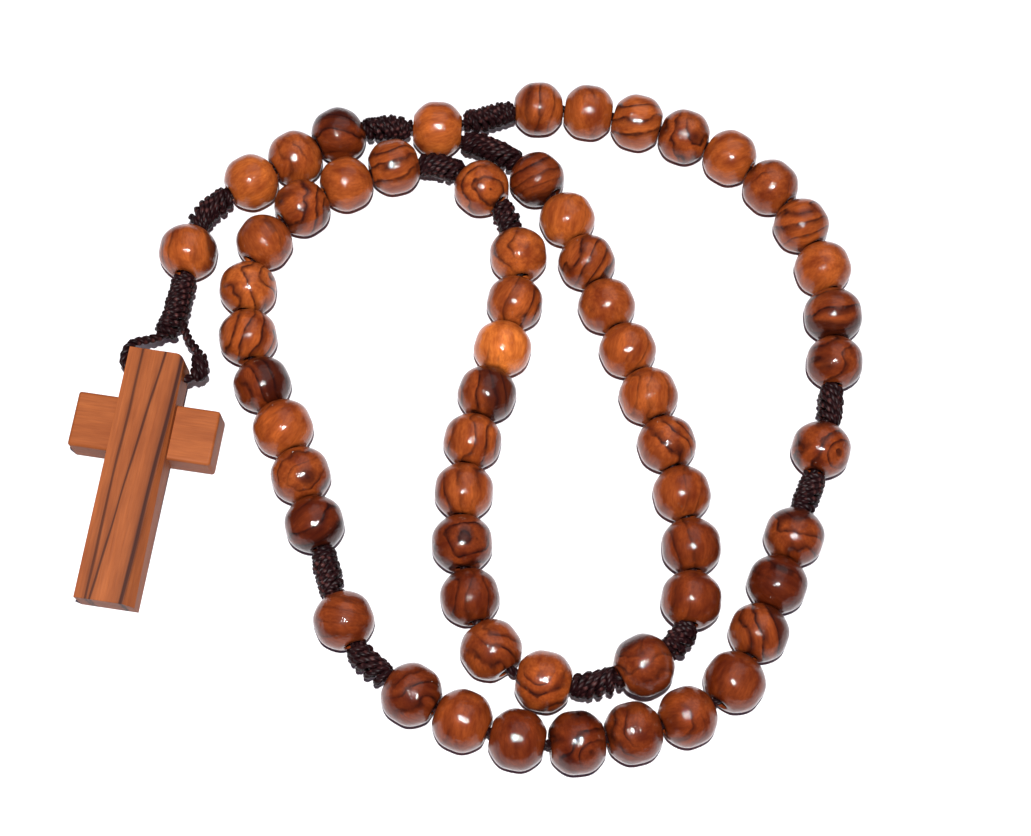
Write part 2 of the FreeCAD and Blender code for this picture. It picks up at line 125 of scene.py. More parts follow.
class Route:
    """The points of a smooth cord line, read off its NURBS spline, by distance."""

    def __init__(self, name, controls):
        curve = bpy.data.curves.new(name, "CURVE")
        curve.dimensions = "3D"
        curve.resolution_u = 40
        spline = curve.splines.new("NURBS")
        spline.points.add(len(controls) - 1)
        for point, place in zip(spline.points, controls):
            point.co = (*(Vector(place) * MM), 1)
        spline.order_u = 3
        spline.use_endpoint_u = True
        mesh = mesh_of_curve(name, curve)
        self.points = [vertex.co.copy() for vertex in mesh.vertices]
        bpy.data.meshes.remove(mesh)
        self.marks = [0.0]
        for before, after in zip(self.points, self.points[1:]):
            self.marks.append(self.marks[-1] + (after - before).length)
        self.length = self.marks[-1]

    def at(self, distance):
        """The place at a distance along the line."""
        distance = min(max(distance, 0.0), self.length)
        low = min(bisect_right(self.marks, distance), len(self.marks) - 1) - 1
        share = (distance - self.marks[low]) / (self.marks[low + 1] - self.marks[low])
        return self.points[low].lerp(self.points[low + 1], share)

    def way(self, distance):
        """The direction of the line at a distance along it."""
        step = 0.1 * MM
        return (self.at(distance + step) - self.at(distance - step)).normalized()

    def nearest(self, place):
        """The distance along the line at which it passes closest to a place."""
        gaps = [(point - place).length for point in self.points]
        low = max(gaps.index(min(gaps)) - 1, 0)
        start, end = self.marks[low], self.marks[min(low + 2, len(self.marks) - 1)]
        tries = [start + (end - start) * n / 20 for n in range(21)]
        return min(tries, key=lambda distance: (self.at(distance) - place).length)

    def stations(self, start, end, step):
        """Distances, places, directions and side vectors, without twist, from start to end."""
        count = max(2, round((end - start) / step))
        side = None
        for n in range(count + 1):
            distance = start + (end - start) * n / count
            way = self.way(distance)
            side = carried_side(side, way)
            yield distance, self.at(distance), way, side


loop_route = Route(
    "loop_line",
    [(x, y, RAISED_POINTS.get(n, BEAD_LEVEL)) for n, (x, y) in enumerate(LOOP_ROUTE)],
)
pendant_route = Route("pendant_line", PENDANT_ROUTE)

# ---------------------------------------------------------------- materials

# millimetres along a cord in which its two plies go once round each other
PLY_TWIST = 1.9


class Nodes:
    """Adds and joins the nodes of one material."""

    def __init__(self, name):
        self.material = bpy.data.materials.new(name)
        self.material.use_nodes = True
        self.tree = self.material.node_tree

    def add(self, kind, **values):
        node = self.tree.nodes.new("ShaderNode" + kind)
        for key, value in values.items():
            setattr(node, key, value)
        return node

    def put(self, socket, value):
        """Joins a socket to an output, or sets it to a plain value."""
        if isinstance(value, bpy.types.NodeSocket):
            self.tree.links.new(value, socket)
        else:
            socket.default_value = value

    def finish(self, inputs):
        """Gives the shader its inputs, by name, and returns the material."""
        shader = self.tree.nodes["Principled BSDF"]
        for name, value in inputs.items():
            self.put(shader.inputs[name], value)
        return self.material

    def math(self, operation, first, second=0.0):
        node = self.add("Math", operation=operation)
        self.put(node.inputs[0], first)
        self.put(node.inputs[1], second)
        return node.outputs[0]

    def plus(self, first, second):
        return self.math("ADD", first, second)

    def minus(self, first, second):
        return self.math("SUBTRACT", first, second)

    def times(self, first, second):
        return self.math("MULTIPLY", first, second)

    def vector(self, operation, first, second):
        node = self.add("VectorMath", operation=operation)
        self.put(node.inputs[0], first)
        self.put(node.inputs[1], second)
        return node.outputs["Value" if operation == "LENGTH" else "Vector"]

    def attribute(self, name):
        return self.add("Attribute", attribute_name=name).outputs["Vector"]

    def noise(self, vector, scale, detail, roughness):
        node = self.add("TexNoise")
        self.put(node.inputs["Vector"], vector)
        self.put(node.inputs["Scale"], scale)
        self.put(node.inputs["Detail"], detail)
        self.put(node.inputs["Roughness"], roughness)
        return node.outputs["Fac"]

    def ramp(self, factor, stops):
        """A grey ramp with straight stretches between its (place, level) stops."""
        node = self.add("ValToRGB")
        self.put(node.inputs[0], factor)
        ramp = node.color_ramp
        while len(ramp.elements) < len(stops):
            ramp.elements.new(0.5)
        for element, (place, level) in zip(ramp.elements, stops):
            element.position = place
            element.color = (level, level, level, 1)
        return node.outputs[0]

    def mix(self, factor, first, second):
        """Mixes two colours, each an output or a plain (red, green, blue)."""
        node = self.add("Mix", data_type="RGBA", blend_type="MIX")
        self.put(node.inputs["Factor"], factor)
        for socket, value in ((node.inputs[6], first), (node.inputs[7], second)):
            self.put(socket, value if isinstance(value, bpy.types.NodeSocket) else (*value, 1))
        return node.outputs[2]

    def split(self, vector):
        node = self.add("SeparateXYZ")
        self.put(node.inputs[0], vector)
        return node.outputs

    def join(self, x, y, z):
        node = self.add("CombineXYZ")
        for socket, value in zip(node.inputs, (x, y, z)):
            self.put(socket, value)
        return node.outputs[0]

    def bump(self, height, distance, strength):
        node = self.add("Bump")
        self.put(node.inputs["Height"], height)
        self.put(node.inputs["Distance"], distance)
        self.put(node.inputs["Strength"], strength)
        return node.outputs[0]


def lacquered_bead_wood():
    """Turned olive wood under lacquer. Grain is in millimetres, with the pith along Z.

    Tone holds how pale the wood is, how strong its veins are, and how many
    millimetres the dark heartwood reaches from the pith.
    """
    n = Nodes("lacquered_bead_wood")
    grain = n.attribute("grain")
    shade, vein, heart = n.split(n.attribute("tone"))
    x, y, z = n.split(grain)
    stretched = n.join(x, y, n.times(z, 0.35))

    # growth rings round the pith, bent out of round
    warp = n.noise(stretched, 0.17, 2.0, 0.5)
    ripple = n.noise(stretched, 0.6, 2.0, 0.55)
    radius = n.vector("LENGTH", n.join(x, y, 0.0), (0.0, 0.0, 0.0))
    turns = n.plus(n.times(radius, 0.52), n.times(warp, 3.4))
    ring = n.math("FRACT", n.plus(turns, n.times(ripple, 0.6)))
    # a growth ring darkens slowly and ends in a dark line
    line = n.ramp(
        ring, [(0.0, 0.7), (0.06, 0.0), (0.62, 0.0), (0.83, 0.35), (0.92, 1.0), (1.0, 0.7)]
    )
    broad = n.ramp(ring, [(0.0, 0.5), (0.12, 0.0), (0.55, 0.1), (0.9, 1.0), (1.0, 0.5)])
    # the rings show in patches, more of them in strongly veined wood
    where = n.noise(stretched, 0.14, 1.0, 0.5)
    where = n.plus(where, n.times(n.minus(vein, 0.5), 0.45))
    patches = n.ramp(where, [(0.38, 0.0), (0.66, 1.0)])
    broken = n.ramp(n.noise(grain, 0.9, 2.0, 0.6), [(0.32, 0.25), (0.55, 1.0)])
    inside = n.minus(heart, n.plus(radius, n.times(ripple, 1.6)))
    heartwood = n.ramp(n.plus(n.times(inside, 0.6), 1.0), [(0.35, 0.0), (0.8, 1.0)])

    fibre = n.noise(n.join(n.times(x, 4.0), n.times(y, 4.0), z), 0.9, 3.0, 0.6)
    mottle = n.noise(stretched, 0.55, 3.0, 0.6)
    tint = n.noise(stretched, 0.2, 1.0, 0.5)
    pale = n.mix(tint, (0.42, 0.112, 0.0220), (0.40, 0.083, 0.0120))
    deep = n.mix(tint, (0.165, 0.030, 0.0060), (0.140, 0.021, 0.0035))
    shaded = (0.085, 0.0145, 0.0035)
    heart_colour = (0.045, 0.0075, 0.0030)
    dark = (0.030, 0.0060, 0.0030)
    body = n.mix(n.ramp(mottle, [(0.34, 0.0), (0.70, 1.0)]), pale, deep)
    body = n.mix(n.ramp(fibre, [(0.35, 0.0), (0.75, 0.6)]), body, deep)
    body = n.mix(n.times(broad, n.times(patches, 0.8)), body, shaded)
    body = n.mix(n.times(heartwood, 0.8), body, heart_colour)
    body = n.mix(n.times(line, n.times(patches, broken)), body, dark)
    # paler wood is also more yellow
    level = n.join(shade, n.math("POWER", shade, 1.3), n.math("POWER", shade, 1.15))

    waves = n.noise(grain, 1.3, 1.0, 0.5)
    pores = n.noise(grain, 4.0, 2.0, 0.6)
    relief = n.plus(waves, n.times(pores, 0.4))
    return n.finish({
        "Base Color": n.vector("MULTIPLY", body, level),
        "Roughness": 0.36,
        "Specular IOR Level": 0.06,
        "Coat Weight": 0.75,
        "Coat Roughness": 0.07,
        "Coat IOR": 1.42,
        "Coat Normal": n.bump(relief, 0.09 * MM, 1.0),
        "Normal": n.bump(fibre, 0.02 * MM, 0.6),
    })


# dark lines down the upright: how far right of its middle each one is at LINES_LEVEL,
# its lean, half the width of its shading, in millimetres, and how dark it is
LINES_LEVEL = -7
GROWTH_LINES = [(-2.1, 0.012, 1.2, 0.85), (-0.35, 0.085, 1.1, 0.9), (2.75, 0.03, 1.9, 1.0)]


def satin_cross_wood():
    """Straight-grained wood. Grain is in millimetres, running along Y.

    Three dark growth lines run down the upright, each leaning its own way.
    """
    n = Nodes("satin_cross_wood")
    x, y, z = n.split(n.attribute("grain"))
    along = n.join(x, n.times(y, 0.08), z)
    wander = n.times(n.minus(n.noise(along, 0.5, 2.0, 0.5), 0.5), 1.1)
    across = n.plus(x, wander)
    fibre = n.noise(n.join(n.times(x, 3.0), n.times(y, 0.15), n.times(z, 3.0)), 1.2, 4.0, 0.65)
    mottle = n.noise(n.join(x, n.times(y, 0.25), z), 0.35, 3.0, 0.6)
    pale, middling, deep = (0.290, 0.080, 0.0210), (0.205, 0.050, 0.0120), (0.130, 0.028, 0.0070)
    dark = (0.030, 0.0065, 0.0035)
    body = n.mix(n.ramp(mottle, [(0.3, 0.0), (0.7, 1.0)]), pale, middling)
    body = n.mix(n.ramp(fibre, [(0.35, 0.0), (0.8, 0.65)]), body, deep)
    for place, lean, reach, depth in GROWTH_LINES:
        line = n.plus(place - LINES_LEVEL * lean, n.times(y, lean))
        off = n.math("DIVIDE", n.minus(across, line), 2 * reach)
        # shading that rises slowly from the left to a sharp line
        near = n.ramp(n.plus(off, 0.5), [
            (0.0, 0.0), (0.3, 0.15), (0.44, 0.4), (0.49, 1.0), (0.56, 0.95), (0.63, 0.12), (1.0, 0.0),
        ])
        body = n.mix(n.times(near, depth), body, dark)
    return n.finish({
        "Base Color": body,
        "Roughness": 0.55,
        "Specular IOR Level": 0.12,
        "Normal": n.bump(fibre, 0.05 * MM, 0.7),
    })


def dark_twisted_cord():
    """Waxed two-ply cord.

    Lay holds the millimetres along the cord, the share of a turn round a ply,
    and the number of the ply.
    """
    n = Nodes("dark_twisted_cord")
    lay = n.attribute("lay")
    along, around, ply = n.split(lay)
    strands = n.noise(n.join(n.times(along, 0.8), n.times(around, 3.0), ply), 1.4, 3.0, 0.6)
    # the last of these colours is a painted highlight, put on the crowns of the plies
    black, brown, ply_highlight_colour = (0.0040, 0.0009, 0.0014), (0.020, 0.0050, 0.0055), (0.120, 0.040, 0.036)
    body = n.mix(n.ramp(strands, [(0.35, 0.0), (0.75, 1.0)]), black, brown)
    # painted highlight: the crown of each ply, where it stands outermost, is painted paler in broken
    # dashes
    crown_highlight = n.math("FRACT", n.plus(n.math("DIVIDE", along, PLY_TWIST), n.times(ply, 0.5)))
    crown_highlight = n.ramp(crown_highlight, [(0.0, 1.0), (0.06, 0.5), (0.11, 0.0), (0.89, 0.0), (0.94, 0.5), (1.0, 1.0)])
    highlight_breakup = n.ramp(n.noise(lay, 0.7, 1.0, 0.5), [(0.38, 0.15), (0.6, 1.0)])
    body = n.mix(n.times(n.times(crown_highlight, highlight_breakup), 0.55), body, ply_highlight_colour)
    thread = n.math("FRACT", n.plus(n.times(along, 1.1), n.times(around, 3.0)))
    ridges = n.ramp(thread, [(0.0, 0.0), (0.5, 1.0), (1.0, 0.0)])
    return n.finish({
        "Base Color": body,
        "Roughness": 0.42,
        "Specular IOR Level": 0.1,
        "Normal": n.bump(ridges, 0.06 * MM, 0.8),
    })


bead_wood = lacquered_bead_wood()
cross_wood = satin_cross_wood()
cord_finish = dark_twisted_cord()

# ---------------------------------------------------------------- finishing

# square metres: only the flat sides of the cross have larger faces
FLAT_AREA = 6 * MM * MM


def finish_piece(name, mesh, material, body, node):
    """Links a piece and says what it moves with, stands for and is made of."""
    for polygon in mesh.polygons:
        polygon.use_smooth = polygon.area < FLAT_AREA
    mesh.materials.append(material)
    piece = bpy.data.objects.new(name, mesh)
    scene.collection.objects.link(piece)
    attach(piece, body)
    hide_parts(node)
    return piece


# ---------------------------------------------------------------- plies of cord

CORD_STEP = 0.25 * MM
CORD_PLY_RADIUS, CORD_PLY_OFFSET = 0.34 * MM, 0.31 * MM
WRAP_PLY_RADIUS, WRAP_PLY_OFFSET = 0.32 * MM, 0.2 * MM
WRAP_RADIUS = 0.5 * MM
WRAP_POINTS = 26
# a knot's line stays this far off its ends
KNOT_INSET = 0.35 * MM
# how far its wraps slant, and by what share they narrow at an end, each with the number
# of wraps from the end over which it changes
KNOT_SLANT, SLANT_WRAPS = 1.1 * MM, 2.4
KNOT_TAPER, TAPER_WRAPS = 0.3, 1.3
KNOT_UNEVENNESS = 0.04


def twist_plies(name, line, ply_radius, offset):
    """Two plies that wind round a line of (point, way, side, distance in mm)."""
    curve = bpy.data.curves.new(name, "CURVE")
    curve.dimensions = "3D"
    curve.bevel_depth = ply_radius
    curve.bevel_resolution = 2
    curve.use_fill_caps = True
    for ply in (0, 1):
        spline = curve.splines.new("POLY")
        spline.points.add(len(line) - 1)
        for knot, (point, way, side, along) in zip(spline.points, line):
            angle = math.pi * ply + 2 * math.pi * along / PLY_TWIST
            out = side * math.cos(angle) + way.cross(side) * math.sin(angle)
            knot.co = (*(point + out * offset), 1)
    mesh = mesh_of_curve(name, curve)
    mesh.name = name
    sides = len(mesh.vertices) // (2 * len(line))
    lay = mesh.attributes.new("lay", "FLOAT_VECTOR", "POINT")
    for number, entry in enumerate(lay.data):
        ring, around = divmod(number, sides)
        ply, ring = divmod(ring, len(line))
        entry.vector = (line[ring][3], around / sides, ply)
    return mesh


def laid_cord(name, route):
    """The cord itself: two plies laid up along its line."""
    line = [
        (place, way, side, distance / MM)
        for distance, place, way, side in route.stations(0, route.length, CORD_STEP)
    ]
    return twist_plies(name, line, CORD_PLY_RADIUS, CORD_PLY_OFFSET)


def wound_knot(name, route, start, end, width, wraps, hand):
    """A barrel knot: a laid cord wrapped round the line, with its ends tucked in.

    The wraps slant along the line, narrow towards the knot's ends, and go round
    it to the right or the left as hand is 1 or -1.
    """
    line = []
    side = last = None
    along = 0.0
    for n in range(wraps * WRAP_POINTS + 1):
        share = n / (wraps * WRAP_POINTS)
        distance = start + KNOT_INSET + (end - start - 2 * KNOT_INSET) * share
        way = route.way(distance)
        side = carried_side(side, way)
        over = way.cross(side)
        angle = hand * 2 * math.pi * n / WRAP_POINTS
        out = side * math.cos(angle) + over * math.sin(angle)
        ahead = (over * math.cos(angle) - side * math.sin(angle)) * hand
        from_end = min(share, 1 - share) * wraps
        reach = width / 2 - WRAP_RADIUS
        reach *= 1 - KNOT_TAPER + KNOT_TAPER * min(1.0, from_end / TAPER_WRAPS)
        reach *= 1 + KNOT_UNEVENNESS * math.sin(2.1 * n / WRAP_POINTS + 1.3 * wraps)
        slant = KNOT_SLANT * min(1.0, from_end / SLANT_WRAPS) * hand * math.cos(angle)
        point = route.at(distance) + out * reach + way * slant
        if last is not None:
            along += (point - last).length / MM
        last = point
        line.append((point, ahead, out, along))
    return twist_plies(name, line, WRAP_PLY_RADIUS, WRAP_PLY_OFFSET)


# ---------------------------------------------------------------- beads

BEAD_LENGTH, BEAD_WIDTH = 6.95 * MM, 7.8 * MM
BEAD_BORE, BEAD_RIM = 1.05 * MM, 1.3 * MM
JUNCTION_BORE, JUNCTION_RIM = 1.6 * MM, 0.5 * MM
JUNCTION_AXIS = (0.998, 0.062, 0)
# a bead's axis may rise this little and still count as level
LEVEL_RISE = 0.02
SPOKES, RIM_STEPS, BELLY_STEPS = 48, 5, 9
BORE_CHAMFER = 0.1 * MM
FULLNESS = 0.035
# a bead's surface wanders by this share of its radius, with this many lumps to a millimetre
UNEVENNESS, LUMPS = 0.008, 0.28
# how far into the noise a bead's lumps and its wood are taken from, either way
LUMPS_REACH, WOOD_REACH = 50, 60


class Seat:
    """Where a bead sits: its middle and the line of its bore."""

    def __init__(self, centre, axis):
        self.centre, self.axis = Vector(centre), Vector(axis).normalized()


seats = {}
for joint in frame["joints"]:
    if joint["name"].endswith("_spin"):
        seats[joint["child"]] = Seat(joint["pos_m"], joint["axis"])
low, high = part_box("junction_bead")
seats["junction_bead"] = Seat((Vector(low) + Vector(high)) / 2, JUNCTION_AXIS)


def bead_profile(width, bore, rim):
    """Half of a bead's outline, as (radius, height) from the bore to the belly.

    It's a ball with flat ends, turned a little fuller towards its rims.
    """
    half, ball = BEAD_LENGTH / 2, width / 2
    rim_out = math.sqrt((ball - rim) ** 2 - (half - rim) ** 2)
    mouth = bore + BORE_CHAMFER
    outline = [
        (bore, 0.0), (bore, half - 2 * BORE_CHAMFER), (bore, half - BORE_CHAMFER), (mouth, half),
        ((mouth + rim_out) / 2, half),
    ]
    meet = math.atan2(half - rim, rim_out)
    for n in range(RIM_STEPS + 1):
        angle = math.pi / 2 + (meet - math.pi / 2) * n / RIM_STEPS
        outline.append((rim_out + rim * math.cos(angle), half - rim + rim * math.sin(angle)))
    for n in range(1, BELLY_STEPS + 1):
        angle = meet * (1 - n / BELLY_STEPS)
        outline.append((ball * math.cos(angle), ball * math.sin(angle)))
    return [
        (radius * (1 + FULLNESS * math.sin(math.pi * min(height / half, 1.0)) ** 2), height)
        if radius > mouth + BORE_CHAMFER else (radius, height)
        for radius, height in outline
    ]


def cut_of_wood(cut, angle, heart):
    """Axes of the grain for a bead, with the pith along the last, and the bead's place in it.

    The angle turns the grain as it's seen from the camera. Bands run side by
    side across the bead, and an eye shows the rings end on.
    """
    facing = -camera_away
    along = camera_side * math.cos(math.radians(angle)) + camera_up * math.sin(math.radians(angle))
    across = facing.cross(along)
    if cut == "eye":
        return (along, across, facing), Vector((heart * 0.2 - 1.4, 0.6, 0))
    if cut == "swirl":
        lean = (along + facing).normalized()
        return (across, lean.cross(across), lean), Vector((2.2, 1.6, 0))
    return (across, facing, along), Vector((5.4, -1.5, 0))


def bead_mesh(name, seat, width, bore, rim, tone):
    """Turns a bead, leaves it a little uneven and gives it its own cut of the wood."""
    shape = bmesh.new()
    grain_layer = shape.verts.layers.float_vector.new("grain")
    tone_layer = shape.verts.layers.float_vector.new("tone")
    upper = bead_profile(width, bore, rim)
    lower = [(radius, -height) for radius, height in upper[-2:0:-1]]
    chain = [shape.verts.new((radius, 0, height)) for radius, height in upper + lower]
    edges = [shape.edges.new((a, b)) for a, b in zip(chain, chain[1:] + chain[:1])]
    bmesh.ops.spin(
        shape, geom=chain + edges, cent=(0, 0, 0), axis=(0, 0, 1), dvec=(0, 0, 0),
        angle=2 * math.pi, steps=SPOKES, use_merge=True,
    )
    bmesh.ops.remove_doubles(shape, verts=shape.verts, dist=0.001 * MM)
    bmesh.ops.recalc_face_normals(shape, faces=shape.faces)
    offset = Vector([chance.uniform(-LUMPS_REACH, LUMPS_REACH) for _ in range(3)])
    shade, vein, cut, angle, heart = tone
    axes, place_in_grain = cut_of_wood(cut, angle, heart)
    place_in_grain.z = chance.uniform(-WOOD_REACH, WOOD_REACH)
    lay = Vector((0, 0, 1)).rotation_difference(seat.axis).to_matrix()
    for vertex in shape.verts:
        place = vertex.co / MM
        if vertex.co.xy.length > bore + 3 * BORE_CHAMFER:
            vertex.co *= 1 + UNEVENNESS * noise.noise(place * LUMPS + offset)
        place = lay @ place
        vertex[grain_layer] = Vector([place.dot(axis) for axis in axes]) + place_in_grain
        vertex[tone_layer] = Vector((shade, vein, heart))
    to_place = Matrix.Translation(seat.centre) @ lay.to_4x4()
    return settled_mesh(name, shape, to_place)


def settled_mesh(name, shape, to_place):
    """Moves a shape to its place, and makes it a mesh."""
    bmesh.ops.transform(shape, matrix=to_place, verts=shape.verts)
    mesh = bpy.data.meshes.new(name)
    shape.to_mesh(mesh)
    shape.free()
    return mesh


def bead_width(node):
    """A bead that lies level is as wide as it is high. A tilted one has the usual width."""
    if abs(seats[node].axis.z) > LEVEL_RISE:
        return BEAD_WIDTH
    low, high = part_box(node)
    return high[2] - low[2]


chance = random.Random(20)
# how pale, how veined, the cut, the angle of the grain, and the reach of dark heartwood
TONES = {
    "bead_1_01": (0.78, 0.35, "bands", 75, 0), "bead_1_02": (0.82, 0.2, "bands", 90, 0),
    "bead_1_03": (0.9, 0.8, "bands", 5, 0), "bead_1_04": (0.68, 0.7, "eye", 0, 0.8),
    "bead_1_05": (0.88, 0.2, "bands", 20, 0), "bead_1_06": (0.64, 0.4, "eye", 200, 0),
    "bead_1_07": (0.76, 0.8, "bands", 20, 0), "bead_1_08": (0.86, 0.3, "swirl", 40, 0),
    "bead_1_09": (0.5, 1.0, "bands", 5, 5.0), "bead_1_10": (0.55, 0.9, "swirl", 10, 1.5),
    "spacer_bead_1": (0.55, 0.7, "eye", 20, 0),
    "bead_2_01": (0.5, 0.7, "swirl", 120, 3.0), "bead_2_02": (0.25, 0.5, "bands", 150, 0),
    "bead_2_03": (0.58, 0.8, "bands", 100, 4.2), "bead_2_04": (0.42, 0.3, "bands", 60, 0),
    "bead_2_05": (0.48, 0.35, "swirl", 30, 0), "bead_2_06": (0.42, 0.3, "eye", 80, 0),
    "bead_2_07": (0.34, 0.5, "eye", 10, 0), "bead_2_08": (0.37, 0.3, "bands", 100, 0),
    "bead_2_09": (0.56, 0.3, "bands", 80, 0), "bead_2_10": (0.37, 0.4, "swirl", 150, 0),
    "spacer_bead_2": (0.46, 0.45, "bands", 170, 0),
    "bead_3_01": (0.3, 1.0, "bands", 30, 4.5), "bead_3_02": (0.66, 0.7, "eye", 30, 1.2),
    "bead_3_03": (0.77, 0.35, "bands", 50, 0), "bead_3_04": (0.45, 0.9, "bands", 110, 5.4),
    "bead_3_05": (0.78, 0.9, "bands", 70, 0), "bead_3_06": (1.0, 0.8, "swirl", 60, 0),
    "bead_3_07": (0.72, 0.4, "bands", 120, 0), "bead_3_08": (0.72, 0.95, "swirl", 20, 1.5),
    "bead_3_09": (0.8, 0.1, "bands", 0, 0), "bead_3_10": (0.8, 0.7, "bands", 20, 0),
    "spacer_bead_3": (0.95, 0.9, "eye", 0, 0),
    "bead_4_01": (0.95, 0.4, "eye", 60, 0), "bead_4_02": (0.76, 0.7, "bands", 60, 0),
    "bead_4_03": (1.5, 0.05, "bands", 90, 0), "bead_4_04": (0.62, 0.9, "bands", 95, 6.2),
    "bead_4_05": (0.77, 0.9, "bands", 85, 0), "bead_4_06": (0.72, 0.7, "bands", 88, 0),
    "bead_4_07": (0.42, 1.0, "eye", 90, 1.2), "bead_4_08": (0.34, 0.5, "bands", 90, 0),
    "bead_4_09": (0.55, 0.45, "swirl", 100, 0), "bead_4_10": (0.76, 0.5, "eye", 140, 0),
    "spacer_bead_4": (0.45, 0.6, "swirl", 160, 2.0),
    "bead_5_01": (0.42, 0.4, "bands", 80, 0), "bead_5_02": (0.44, 0.5, "bands", 95, 0),
    "bead_5_03": (0.62, 0.6, "bands", 85, 0), "bead_5_04": (0.68, 0.6, "swirl", 75, 0),
    "bead_5_05": (0.82, 0.4, "bands", 90, 0), "bead_5_06": (0.8, 0.4, "bands", 70, 0),
    "bead_5_07": (0.76, 0.5, "swirl", 110, 0), "bead_5_08": (0.68, 0.9, "bands", 60, 0),
    "bead_5_09": (1.0, 0.25, "bands", 80, 0), "bead_5_10": (0.52, 0.8, "bands", 20, 3.6),
    "junction_bead": (1.0, 0.25, "bands", 10, 0),
    "pendant_spacer_bead": (0.88, 0.55, "bands", 95, 2.4),
}
PENDANT_TONES = [
    (0.42, 1.0, "bands", 175, 4.6), (0.8, 0.6, "swirl", 70, 0.8), (1.1, 0.15, "bands", 30, 0),
]

for node in sorted(seats):
    if node == "pendant_bead_trio":
        continue
    junction_bead = node == "junction_bead"
    bore, rim = (JUNCTION_BORE, JUNCTION_RIM) if junction_bead else (BEAD_BORE, BEAD_RIM)
    name = node + "_turned"
    mesh = bead_mesh(name, seats[node], bead_width(node), bore, rim, TONES[node])
    finish_piece(name, mesh, bead_wood, "loop" if junction_bead else node, node)

# the trio's beads are counted from the junction bead, and get a little narrower
TRIO_STEP, TRIO_NARROWING = 7.24 * MM, 0.08 * MM
trio = seats["pendant_bead_trio"]
junction = seats["junction_bead"]
if (junction.centre - trio.centre).dot(trio.axis) > 0:
    trio = Seat(trio.centre, -trio.axis)
trio_seats = [Seat(trio.centre + trio.axis * (TRIO_STEP * n), trio.axis) for n in (-1, 0, 1)]
for number, (seat, tone) in enumerate(zip(trio_seats, PENDANT_TONES), start=1):
    name = f"pendant_bead_{number}_turned"
    width = BEAD_WIDTH + TRIO_NARROWING * (2 - number)
    mesh = bead_mesh(name, seat, width, BEAD_BORE, BEAD_RIM, tone)
    finish_piece(name, mesh, bead_wood, "pendant_bead_trio", "pendant_bead_trio")

# ---------------------------------------------------------------- cords and knots

KNOT_WIDTH = 3.7 * MM
WRAP_STEP = 1.02 * MM
# along the loop's line from each of its ends to the mouth of the junction bead
JUNCTION_MOUTH = 6.4 * MM
UPPER_KNOT_START = 0.2 * MM
LOWER_KNOT_LENGTH = 10.2 * MM
STOPPER_PLACE = Vector((-37.24, -0.61, 5.22)) * MM
STOPPER_LENGTH, STOPPER_WIDTH = 3.8 * MM, 2.6 * MM


def face_of(seat, route, towards):
    """Where the cord leaves a bead's end, on the side of the next bead."""
    side = seat.axis if (towards.centre - seat.centre).dot(seat.axis) > 0 else -seat.axis
    return route.nearest(seat.centre + side * (BEAD_LENGTH / 2))


def knot_along(number, route, start, end, body, node, width=KNOT_WIDTH):
    """Winds a knot from start to end. Every second one goes round the other way."""
    wraps = round((end - start) / WRAP_STEP)
    name = f"wound_knot_{number:02d}"
    mesh = wound_knot(name, route, start, end, width, wraps, 1 if number % 2 else -1)
    return finish_piece(name, mesh, cord_finish, body, node)


def cord_along(name, route, body, node):
    return finish_piece(name, laid_cord(name, route), cord_finish, body, node)


neighbours = [("junction_bead", "bead_1_01")]
for group in range(1, 5):
    neighbours.append((f"bead_{group}_10", f"spacer_bead_{group}"))
    neighbours.append((f"spacer_bead_{group}", f"bead_{group + 1}_01"))
neighbours.append(("bead_5_10", "junction_bead"))

for number, (before, after) in enumerate(neighbours, start=1):
    start = face_of(seats[before], loop_route, seats[after])
    end = face_of(seats[after], loop_route, seats[before])
    if before == "junction_bead":
        start = JUNCTION_MOUTH
    if after == "junction_bead":
        end = loop_route.length - JUNCTION_MOUTH
    knot_along(number, loop_route, start, end, "loop", "loop_cord")

loop_cord = cord_along("loop_cord_laid", loop_route, "loop", "loop_cord")
tuple(loop_route.points[0])
[tuple(p) for p in loop_route.points]

first_bead, last_bead = trio_seats[0], trio_seats[-1]
spacer = seats["pendant_spacer_bead"]
upper = (UPPER_KNOT_START, face_of(first_bead, pendant_route, junction))
middle = (face_of(last_bead, pendant_route, spacer), face_of(spacer, pendant_route, last_bead))
# the cord leaves the spacer bead straight down the table
lower_start = pendant_route.nearest(spacer.centre + Vector((0, -BEAD_LENGTH / 2, 0)))
lower = (lower_start, lower_start + LOWER_KNOT_LENGTH)
stopper_middle = pendant_route.nearest(STOPPER_PLACE)
stopper = (stopper_middle - STOPPER_LENGTH / 2, stopper_middle + STOPPER_LENGTH / 2)
pendant_knots = [
    knot_along(number, pendant_route, *ends, "pendant", "pendant_cord", width)
    for number, ends, width in (
        (11, upper, KNOT_WIDTH), (12, middle, KNOT_WIDTH), (13, lower, KNOT_WIDTH),
        (14, stopper, STOPPER_WIDTH),
    )
]
pendant_cord = cord_along("pendant_cord_laid", pendant_route, "pendant", "pendant_cord")
tuple(pendant_route.points[0])
[tuple(p) for p in pendant_route.points]

# ---------------------------------------------------------------- cross

# in millimetres: the upright stands proud of the crossbar by POST_LIFT, and the cross
# is tilted so that the upright's foot rests on the table
BAR_MIDDLE = Vector((-42.9, -9.7, 0))
CROSS_TURN = math.radians(-2.85)
POST_LENGTH, POST_WIDTH, POST_THICK, POST_ABOVE, POST_LIFT = 34.4, 7.6, 5.0, 10.4, 1.8
BAR_LENGTH, BAR_WIDTH, BAR_THICK = 19.2, 7.6, 5.0
FOOT_CUT_ACROSS, FOOT_CUT_DEEP = 1.15, 1.9
TOP_CORNER = 1.3
POST_EASE, BAR_EASE = 0.3, 0.4
SHARP_ANGLE = 0.5
